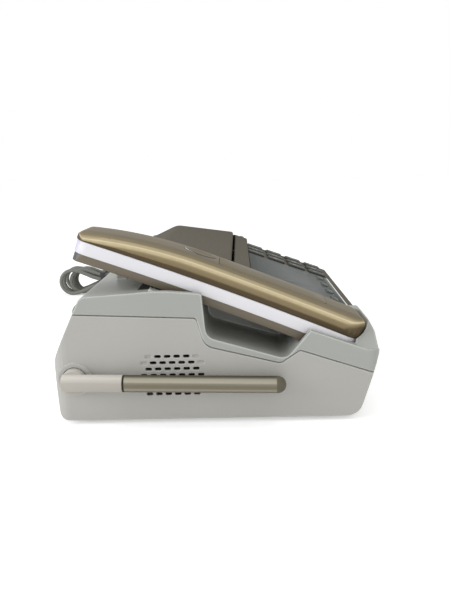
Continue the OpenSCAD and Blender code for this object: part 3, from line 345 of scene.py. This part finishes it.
def moulded(name, colour, rough=0.5, grain=0.12, spread=0.035, edge_shine=0.25, turned=None, edge=EDGE, seam=0,
            **sockets):
    """Moulded plastic: spark-eroded grain, faint shade drift and a painted highlight along its edges.

    turned gives a way and the colour painted on the faces that look that way, as painted light and shade.
    A seam width gives a line of painted shade of that width above lower edges.
    """
    paint = Paint(name, **sockets)
    paint.edge = edge
    shade = paint.ramp(paint.noise(DRIFT_SCALE, 3), shaded(colour, 1 - spread), shaded(colour, 1 + spread))
    # Painted light and shade by the way a face looks.
    if turned:
        way, light_and_shade_colour = turned
        shade = paint.mixed(paint.spread(paint.facing(way), 0.3, 0.8), shade, light_and_shade_colour)
    # Painted highlight: faces near an edge are mixed towards a lighter colour.
    if edge_shine:
        edge_highlight = paint.maths("MULTIPLY", paint.edges(), edge_shine)
        shade = paint.mixed(edge_highlight, shade, shaded(colour, 1.8))
    # Painted shade: a dark line above lower edges, where the seam lies in shadow.
    if seam:
        shade = paint.mixed(paint.seam(seam), shade, shaded(colour, 0.3))
    paint.colour(shade)
    fine = paint.noise(GRAIN_SCALE, 2)
    return paint.rough(fine, rough - 0.06, rough + 0.08).bump(fine, grain, 0.00015)


def brushed(name, colour, along, rough, **sockets):
    """Lacquer over fine lines that run along one axis."""
    paint = Paint(name, **sockets)
    lines = paint.noise(1.0, 3, paint.stretched(along))
    drift = paint.noise(11, 2)
    bands = paint.ramp(lines, shaded(colour, 0.93), shaded(colour, 1.07))
    paint.colour(paint.mixed(drift, bands, shaded(colour, 0.98)))
    return paint.rough(lines, rough - 0.05, rough + 0.07).bump(lines, 0.06, 0.0001)


def board(name, colour, track):
    """Lacquered circuit board with tracks and pads."""
    paint = Paint(name, Roughness=0.4)
    cells = paint.add("ShaderNodeTexVoronoi", distance="MANHATTAN")
    cells.inputs["Scale"].default_value = 320
    paint.link(paint.places, cells.inputs["Vector"])
    tracks = paint.ramp(cells.outputs["Distance"], (0, 0, 0, 1), (1, 1, 1, 1), 0.46, 0.5)
    return paint.colour(paint.mixed(tracks, colour, track)).bump(tracks, 0.2, 0.0001)


HANDSET_TILT = math.radians(21.5)
HANDSET_UP = Vector((0, -math.sin(HANDSET_TILT), math.cos(HANDSET_TILT)))
HANDSET_REAR = Vector((0, math.cos(HANDSET_TILT), math.sin(HANDSET_TILT)))
HANDSET_CENTRE = Vector((-115.3, -0.4, 84.4)) * MM
GRIP = HANDSET_CENTRE + HANDSET_REAR * 23.5 * MM
GRIP_R = 13 * MM
# The painted highlight on the grip's lip is a crescent between two discs set off by these.
GRIP_LIP, GRIP_SHINE = 3.2 * MM, 5.6 * MM
SOFT = 0.2 * MM
ACROSS = (1, 0, 0)
# Gold by how far a face looks up the handset: painted shade under the lip, a painted highlight along the
# shoulder and a darker painted reflection on the top.
GOLD_LIGHT_AND_SHADE = [(0.0, srgb(90, 78, 60)), (0.1, srgb(134, 120, 91)), (0.4, srgb(174, 158, 123)),
              (0.62, srgb(231, 217, 180)), (0.74, srgb(191, 177, 143)), (0.88, srgb(149, 136, 108)),
              (0.975, srgb(125, 116, 96))]


def toned(paint, factor, colours):
    """A colour that turns with a factor; colours are pairs of a factor and its colour."""
    tone = paint.add("ShaderNodeValToRGB")
    for place, _ in colours[1:-1]:
        tone.color_ramp.elements.new(place)
    for element, (place, colour) in zip(tone.color_ramp.elements, colours):
        element.position, element.color = place, colour
    paint.link(factor, tone.inputs["Fac"])
    return tone.outputs["Color"]


def lacquered(name, colours):
    """Gold lacquer with fine lines; painted highlight and painted shade by the way it faces, painted shade on
    rear faces, and a painted shadow and a painted highlight at the thumb grip.
    """
    paint = Paint(name, Specular_IOR_Level=0.025)
    lines = paint.noise(1.0, 3, paint.stretched((900, 14, 900), -HANDSET_TILT))
    shade = paint.ramp(lines, (0.92, 0.92, 0.92, 1), (1, 1, 1, 1))
    lined = paint.add("ShaderNodeMix", data_type="RGBA", blend_type="MULTIPLY")
    lined.inputs[0].default_value = 1.0
    # Painted highlight and shade by how far each face looks up the handset.
    paint.link(toned(paint, paint.facing(HANDSET_UP), colours), lined.inputs[6])
    paint.link(shade, lined.inputs[7])
    # Painted shade on the gold faces that look to the handset's rear.
    rear_shade = paint.spread(paint.facing(HANDSET_REAR), 0.45, 0.8)
    body = paint.mixed(rear_shade, lined.outputs[2], srgb(92, 85, 78))
    back = paint.offset(HANDSET_REAR, GRIP)
    discs = []
    for shift in (0, GRIP_LIP, GRIP_SHINE):
        out = paint.offset(ACROSS, GRIP + Vector((shift, 0, 0)))
        square = paint.maths("ADD", paint.maths("MULTIPLY", out, out), paint.maths("MULTIPLY", back, back))
        discs.append(paint.spread(paint.maths("SQRT", square, 0), GRIP_R + SOFT, GRIP_R - SOFT))
    crescent = paint.maths("SUBTRACT", discs[1], discs[2])
    shine = paint.maths("MULTIPLY", crescent, paint.spread(back, 1 * MM, 4 * MM))
    near = paint.spread(paint.offset(ACROSS, GRIP), 1 * MM, -1 * MM)
    # Painted shadow over the grip's near half, then a painted highlight on its lip.
    for part, colour in ((discs[0], srgb(53, 45, 37)), (shine, srgb(248, 248, 248))):
        body = paint.mixed(paint.maths("MULTIPLY", near, part), body, colour)
    paint.colour(body)
    return paint.rough(lines, 0.34, 0.46).bump(lines, 0.05, 0.0001)


def window_normal():
    """The way that the display window faces."""
    normal = max(NODES["display_window"].data.polygons, key=lambda face: face.area).normal
    return normal.copy() if normal.z > 0 else -normal


SLOPE_NORMAL = window_normal()
SLOPE = Matrix.Rotation(math.atan2(-SLOPE_NORMAL.y, SLOPE_NORMAL.z), 4, "X")
SCREEN_LOW, SCREEN_HIGH, SCREEN_MARGIN = 25 * MM, 79 * MM, 8 * MM
# Where the painted highlight along the window's front edge fades out and how it fades in at the side.
GLINT_START, GLINT_END, GLINT_SIDE = 1.6 * MM, 1.2 * MM, 0.5 * MM


def window_face():
    """Smoked window with a display behind it and a painted highlight along its front edge."""
    paint = Paint("window_blue", Specular_IOR_Level=0.018)
    corners = [v.co for v in NODES["display_window"].data.vertices]
    up = Vector((0, SLOPE_NORMAL.z, -SLOPE_NORMAL.y))
    low = min(corner.dot(up) for corner in corners)
    left, right = min(corner.x for corner in corners), max(corner.x for corner in corners)
    height, width = paint.offset(up, up * low), paint.offset(ACROSS, Vector((left, 0, 0)))
    inside = 1
    for value, start, end in ((height, SCREEN_LOW, SCREEN_HIGH),
                              (width, SCREEN_MARGIN, right - left - SCREEN_MARGIN)):
        edges = paint.maths("MULTIPLY", paint.spread(value, start - SOFT, start + SOFT),
                            paint.spread(value, end + SOFT, end - SOFT))
        inside = paint.maths("MULTIPLY", inside, edges)
    drift = paint.noise(14, 3)
    glass = paint.ramp(drift, srgb(50, 55, 52), srgb(58, 63, 58))
    screen = paint.ramp(drift, srgb(55, 64, 60), srgb(63, 71, 66))
    seen = paint.mixed(inside, glass, screen)
    # Painted highlight: a near-white strip along the front edge.
    edge_glint = paint.maths("MULTIPLY", paint.spread(height, GLINT_START, GLINT_END),
                       paint.spread(width, 0.0, GLINT_SIDE))
    paint.colour(paint.mixed(edge_glint, seen, srgb(248, 248, 248)))
    return paint.rough(drift, 0.24, 0.34).bump(drift, 0.02, 0.0001)


# Painted highlights and shade around the tube, by how far each face looks up.
TUBE_LIGHT_AND_SHADE = [(0.0, srgb(85, 80, 68)), (0.08, srgb(110, 104, 87)), (0.2, srgb(167, 160, 142)),
              (0.27, srgb(177, 172, 153)), (0.36, srgb(142, 136, 117)), (0.5, srgb(138, 132, 113)),
              (0.64, srgb(154, 148, 130)), (0.72, srgb(196, 191, 173)), (0.88, srgb(186, 181, 162)),
              (0.96, srgb(117, 111, 95)), (1.0, srgb(87, 81, 70))]
TIP_START, TIP_END = 6.8 * MM, 7.4 * MM
RING_START, RING_END = 1.9 * MM, 1.5 * MM


def smoky_plastic():
    """Smoky tube with painted highlights and shade in bands by the way it faces, as round glass shows them, a
    solid tip and a dark ring where it leaves its base.
    """
    paint = Paint("smoky_tube", Transmission_Weight=0.3, IOR=1.15)
    drift = paint.noise(60, 2)
    # Painted highlight and shade bands by how far the face looks up.
    bands = toned(paint, paint.spread(paint.facing((0, 0, 1)), -1, 1), TUBE_LIGHT_AND_SHADE)
    low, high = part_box("antenna_tube")
    along = paint.offset((0, 1, 0), low)
    tip = paint.mixed(paint.spread(along, TIP_END, TIP_START), bands, srgb(117, 112, 96))
    length = high.y - low.y
    ring = paint.spread(along, length - RING_START, length - RING_END)
    paint.colour(paint.mixed(ring, tip, srgb(58, 53, 45)))
    return paint.rough(drift, 0.14, 0.22).bump(drift, 0.02, 0.0001)


# The way that the key tops face.
SLOPE_UP = (0, -0.3405, 0.9403)
PAINTS = {
    # Painted highlight along the case's edges.
    "case_grey": moulded("case_grey", srgb(174, 173, 167), 0.5, edge=1.2 * MM, edge_shine=0.4),
    # Painted highlight along the cover's edges, and painted shade in a line above its lower edges.
    "cover_grey": moulded("cover_grey", srgb(163, 165, 159), 0.46, edge=1.5 * MM, edge_shine=1.0, seam=0.8 * MM),
    "panel_grey": brushed("panel_grey", srgb(115, 111, 101), (40, 900, 900), 0.6, Specular_IOR_Level=0.0),
    "champagne": lacquered("champagne", GOLD_LIGHT_AND_SHADE),
    # Painted reflection of the bluish window light: the band's faces that look to the rear turn lilac.
    "band_white": moulded("band_white", srgb(226, 225, 228), 0.32, 0.03, 0.02, 0,
                          (HANDSET_REAR, srgb(205, 201, 219))),
    # Painted shade: the taupe faces that look to the handset's rear are darker.
    "taupe": moulded("taupe", srgb(106, 97, 81), 0.42, 0.08, turned=(HANDSET_REAR, srgb(60, 57, 58))),
    # Painted light: faces of the white plastic that look up are lighter.
    "white_plastic": moulded("white_plastic", srgb(174, 169, 159), 0.36, 0.04,
                             turned=((0, 0, 1), srgb(204, 200, 191))),
    "smoky_tube": smoky_plastic(),
    "window_blue": window_face(),
    "display_glass": moulded("display_glass", srgb(92, 106, 100), 0.15, 0.01),
    # Painted shade: the keys' sides are darker than their tops, which look up the slope.
    "key_grey": moulded("key_grey", srgb(53, 53, 50), 0.5, 0.1, 0.03, 0.1, (SLOPE_UP, srgb(95, 95, 90)),
                        Specular_IOR_Level=0.03),
    "function_grey": moulded("function_grey", srgb(95, 102, 97), 0.4, 0.05, edge_shine=0.05, Specular_IOR_Level=0.03),
    "black_plastic": moulded("black_plastic", srgb(34, 34, 36), 0.5),
    "black_rubber": moulded("black_rubber", srgb(30, 30, 30), 0.75, 0.3),
    "steel": brushed("steel", srgb(176, 177, 180), (30, 900, 900), 0.3, Metallic=1.0),
    "bare_aluminium": brushed("bare_aluminium", srgb(178, 180, 184), (20, 700, 700), 0.35, Metallic=1.0),
    "contact_metal": brushed("contact_metal", srgb(206, 178, 108), (400, 400, 40), 0.28, Metallic=1.0),
    "board_green": board("board_green", srgb(28, 92, 52), srgb(70, 128, 84)),
    "board_brown": board("board_brown", srgb(142, 112, 66), srgb(186, 158, 98)),
    "battery_blue": moulded("battery_blue", srgb(74, 84, 104), 0.4),
    "cord_grey": moulded("cord_grey", srgb(115, 117, 108), 0.5, 0.15, edge_shine=0),
    "numeral_white": moulded("numeral_white", srgb(206, 206, 198), 0.5, 0.05, edge_shine=0),
}


def painted(obj, name):
    """An object with one of the paints on it."""
    obj.data.materials.clear()
    obj.data.materials.append(PAINTS[name].material)
    return obj


def stands_for(piece, node):
    """A piece set on a CAD node's body, in place of that node."""
    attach(piece, BODY_OF[node])
    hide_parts(node)
    return painted(piece, SLOT_OF[node])


ROUND_SEGMENTS, ROUND_ANGLE = 3, math.radians(28)
FLAT_ANGLE = math.radians(0.05)
SAME_PLACE = 0.01 * MM


def softened(node, width):
    """A copy of a CAD node with its flat faces joined, its edges rounded and its curves shaded smooth."""
    mesh = NODES[node].data.copy()
    piece = bpy.data.objects.new("look_" + node, mesh)
    bpy.context.scene.collection.objects.link(piece)
    shape = bmesh.new()
    shape.from_mesh(mesh)
    bmesh.ops.remove_doubles(shape, verts=shape.verts, dist=SAME_PLACE)
    bmesh.ops.dissolve_limit(shape, angle_limit=FLAT_ANGLE, verts=shape.verts, edges=shape.edges)
    for face in shape.faces:
        face.smooth = True
    shape.to_mesh(mesh)
    shape.free()
    rounding = piece.modifiers.new("rounding", "BEVEL")
    rounding.width = width * MM
    rounding.segments = ROUND_SEGMENTS
    rounding.limit_method = "ANGLE"
    rounding.angle_limit = ROUND_ANGLE
    rounding.harden_normals = True
    rounding.use_clamp_overlap = True
    return stands_for(piece, node)


# The handset's rounded ends: where they begin along it and above it, in millimetres, and how they are made.
VOXEL = 0.55
NOSE_ENDS, NOSE_FADE = (-94, 92), 8
NOSE_LOW, NOSE_RISE = 17, 3
NOSE_STEPS, ALL_STEPS = 120, 2
KEPT_FACES = 0.2


def nosed(node):
    """A copy of a handset shell, remeshed evenly, with its ends rounded as one soft nose."""
    mesh = NODES[node].data.copy()
    piece = bpy.data.objects.new("look_" + node, mesh)
    bpy.context.scene.collection.objects.link(piece)
    even = piece.modifiers.new("even", "REMESH")
    even.mode = "VOXEL"
    even.voxel_size = VOXEL * MM
    even.use_smooth_shade = True
    bpy.context.view_layer.update()
    piece.data = bpy.data.meshes.new_from_object(piece.evaluated_get(bpy.context.evaluated_depsgraph_get()))
    piece.modifiers.clear()
    bpy.data.meshes.remove(mesh)
    nose = piece.vertex_groups.new(name="nose")
    for vertex in piece.data.vertices:
        place = vertex.co - HANDSET_CENTRE
        along, height = place.dot(HANDSET_REAR) / MM, place.dot(HANDSET_UP) / MM
        past = max(NOSE_ENDS[0] - along, along - NOSE_ENDS[1])
        weight = min(1, max(0, past / NOSE_FADE)) * min(1, max(0, (height - NOSE_LOW) / NOSE_RISE))
        nose.add([vertex.index], weight, "REPLACE")
    for group, count in (("nose", NOSE_STEPS), ("", ALL_STEPS)):
        smooth = piece.modifiers.new("smooth_" + (group or "all"), "SMOOTH")
        smooth.factor = 0.5
        smooth.iterations = count
        smooth.vertex_group = group
    fewer = piece.modifiers.new("fewer", "DECIMATE")
    fewer.ratio = KEPT_FACES
    return stands_for(piece, node)


# What is printed on the dial keys, and the rounding of the pieces' edges in millimetres.
DIALS = {"key_1": "1", "key_2": "2", "key_3": "3", "key_4": "4", "key_5": "5", "key_6": "6", "key_7": "7",
         "key_8": "8", "key_9": "9", "key_star": "*", "key_0": "0", "key_hash": "#"}
ROUNDING = {"paper_cover": 0.8, "control_panel": 0.6, "display_window": 0.3,
            "handset_band": 0.5, "handset_face": 0.6, "battery_cover": 0.08,
            "antenna_base": 0.8, "antenna_tube": 0.3, "power_plug": 1.0, "cord_tie": 0.3, "cord_gland": 0.4,
            **{key: 0.5 for key in DIALS},
            **{key: 0.25 for key in ("menu_key", "speaker_key", "stop_key", "start_key")}}

for node, obj in NODES.items():
    painted(obj, SLOT_OF[node])
looks = {node: softened(node, width) for node, width in ROUNDING.items()}
nosed("handset_top")
make_cord()

NUMERAL_SIZE, NUMERAL_DEPTH, NUMERAL_LIFT = 8.5 * MM, 0.06 * MM, 0.02 * MM


def numeral(node, text):
    """A printed numeral in the middle of a key's top."""
    data = bpy.data.curves.new("numeral_" + node, "FONT")
    data.body = text
    data.size = NUMERAL_SIZE
    data.extrude = NUMERAL_DEPTH
    data.align_x, data.align_y = "CENTER", "CENTER"
    words = bpy.data.objects.new("text_" + node, data)
    bpy.context.scene.collection.objects.link(words)
    bpy.context.view_layer.update()
    mesh = bpy.data.meshes.new_from_object(words.evaluated_get(bpy.context.evaluated_depsgraph_get()))
    bpy.data.objects.remove(words)
    low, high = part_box(node)
    top = max(v.co.dot(SLOPE_NORMAL) for v in NODES[node].data.vertices)
    middle = (low + high) / 2
    middle += SLOPE_NORMAL * (top + NUMERAL_LIFT - middle.dot(SLOPE_NORMAL))
    print_piece = bpy.data.objects.new("numeral_" + node, mesh)
    print_piece.matrix_world = Matrix.Translation(middle) @ SLOPE
    bpy.context.scene.collection.objects.link(print_piece)
    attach(print_piece, BODY_OF[node])
    painted(print_piece, "numeral_white")


for key, text in DIALS.items():
    numeral(key, text)


def strip_piece(name, rows, body, paint):
    """A closed strip through rows of corner places, each row one cross-section in order."""
    mesh = bpy.data.meshes.new(name)
    count = len(rows[0])
    places = [place for row in rows for place in row]
    last = (len(rows) - 1) * count
    faces = []
    for start in range(0, last, count):
        for k in range(count):
            after = (k + 1) % count
            faces.append((start + k, start + count + k, start + count + after, start + after))
    faces += [tuple(range(count)), tuple(last + count - 1 - k for k in range(count))]
    mesh.from_pydata(places, [], faces)
    shape = bmesh.new()
    shape.from_mesh(mesh)
    bmesh.ops.recalc_face_normals(shape, faces=shape.faces)
    shape.to_mesh(mesh)
    shape.free()
    piece = bpy.data.objects.new(name, mesh)
    bpy.context.scene.collection.objects.link(piece)
    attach(piece, body)
    return painted(piece, paint)


# The dark strip of painted shade in the lid's slot, in millimetres: places behind the lid's front wall and above
# the ground, and layers off its end.
SLOT_SHADE_SECTION = [(2.5, 90.3), (-3.4, 88.2), (-3.4, 106.4), (-2.4, 107.6), (2.5, 107.6)]
SLOT_SHADE_LAYERS = (0, 0.6, 1.2)
WALL_DEPTH = 0.5 * MM


def make_slot_shade():
    """A dark strip on the paper cover's right end, which closes the gap before the panel's ridge: painted shade
    where the slot lies in shadow.
    """
    lid = NODES["paper_cover"].data.vertices
    front = min(v.co.y for v in lid)
    end = max(v.co.x for v in lid if v.co.y < front + WALL_DEPTH)
    rows = [[(end + x * MM, front + y * MM, z * MM) for y, z in SLOT_SHADE_SECTION] for x in SLOT_SHADE_LAYERS]
    strip_piece("slot_shade_strip", rows, BODY_OF["paper_cover"], "black_rubber")


# The grid on the deck of the dark sheet of painted shade under the handset's earpiece end, in millimetres, its
# height above the deck and its thickness.
REST_SHADE_X = (-140, -128, -116, -104, -92)
REST_SHADE_Y = [44.5 + k for k in range(12)]
REST_SHADE_OUT, REST_SHADE_THICK = 0.35 * MM, 0.5 * MM
RAY_Z = 200 * MM


def make_rest_shade():
    """A dark sheet on the deck, where the handset's earpiece end rests: painted shade in the hollow under it."""
    cover = NODES["upper_cover"].data
    tree = BVHTree.FromPolygons([v.co for v in cover.vertices], [p.vertices for p in cover.polygons])
    rows = []
    for y in REST_SHADE_Y:
        row = []
        for x in REST_SHADE_X:
            hit = tree.ray_cast(Vector((x * MM, y * MM, RAY_Z)), Vector((0, 0, -1)))[0]
            row.append((x * MM, y * MM, hit.z + REST_SHADE_OUT))
        rows.append(row + [(px, py, pz - REST_SHADE_THICK) for px, py, pz in reversed(row)])
    strip_piece("rest_shade_sheet", rows, BODY_OF["upper_cover"], "black_rubber")


make_slot_shade()
make_rest_shade()

# The world's light on the phone; the floor's glow for the camera makes up what it lacks to white.
SKY = 0.6
GLOW = 0.4
FLOOR_REACH = 6
AIM = Vector((0, 0, 0.06))


def make_world():
    """White behind the phone, and an even soft light on it."""
    world = bpy.data.worlds.new("studio")
    world.use_nodes = True
    bpy.context.scene.world = world
    tree = world.node_tree
    back = tree.nodes["Background"]
    path = tree.nodes.new("ShaderNodeLightPath")
    seen = tree.nodes.new("ShaderNodeMath")
    seen.operation = "MAXIMUM"
    clear = tree.nodes.new("ShaderNodeMath")
    clear.operation = "MAXIMUM"
    tree.links.new(path.outputs["Is Camera Ray"], seen.inputs[0])
    tree.links.new(path.outputs["Is Transmission Ray"], seen.inputs[1])
    tree.links.new(seen.outputs[0], clear.inputs[0])
    tree.links.new(path.outputs["Is Glossy Ray"], clear.inputs[1])
    shade = tree.nodes.new("ShaderNodeMix")
    shade.data_type = "RGBA"
    shade.inputs[6].default_value = (SKY, SKY, SKY, 1)
    shade.inputs[7].default_value = (1, 1, 1, 1)
    tree.links.new(clear.outputs[0], shade.inputs[0])
    tree.links.new(shade.outputs[2], back.inputs["Color"])
    back.inputs["Strength"].default_value = 1.0


def make_lamp(name, place, size, power, colour=(1, 1, 1)):
    """A square soft lamp that points at the phone."""
    data = bpy.data.lights.new(name, "AREA")
    data.color = colour
    data.size = size
    data.energy = power
    lamp = bpy.data.objects.new(name, data)
    lamp.location = place
    lamp.rotation_euler = (AIM - Vector(place)).to_track_quat("-Z", "Y").to_euler()
    bpy.context.scene.collection.objects.link(lamp)


def make_floor():
    """A plain pale floor, just below the phone's feet."""
    mesh = bpy.data.meshes.new("floor")
    sides = ((-1, -1), (1, -1), (1, 1), (-1, 1))
    mesh.from_pydata([(x * FLOOR_REACH, y * FLOOR_REACH, 0) for x, y in sides], [], [(0, 1, 2, 3)])
    floor = bpy.data.objects.new("floor", mesh)
    floor.location.z = -0.2 * MM
    bpy.context.scene.collection.objects.link(floor)
    paint = moulded("floor_white", srgb(250, 250, 250), 0.8, 0.02, 0.005, 0, Emission_Color=(1, 1, 1, 1))
    rays = paint.add("ShaderNodeLightPath").outputs
    seen = paint.maths("MAXIMUM", rays["Is Camera Ray"], rays["Is Glossy Ray"])
    seen = paint.maths("MAXIMUM", seen, rays["Is Transmission Ray"])
    paint.link(paint.maths("MULTIPLY", seen, GLOW), paint.shader.inputs["Emission Strength"])
    floor.data.materials.append(paint.material)


make_world()
make_floor()
make_lamp("window_light", (-0.5, 1.3, 0.6), 0.9, 10.8, (0.94, 0.94, 1.0))
make_lamp("room_light", (-1.3, -0.4, 0.3), 0.9, 3.3)
make_lamp("ceiling_light", (-0.15, -0.2, 1.3), 0.8, 2.4)
bpy.context.scene.view_settings.view_transform = "Standard"
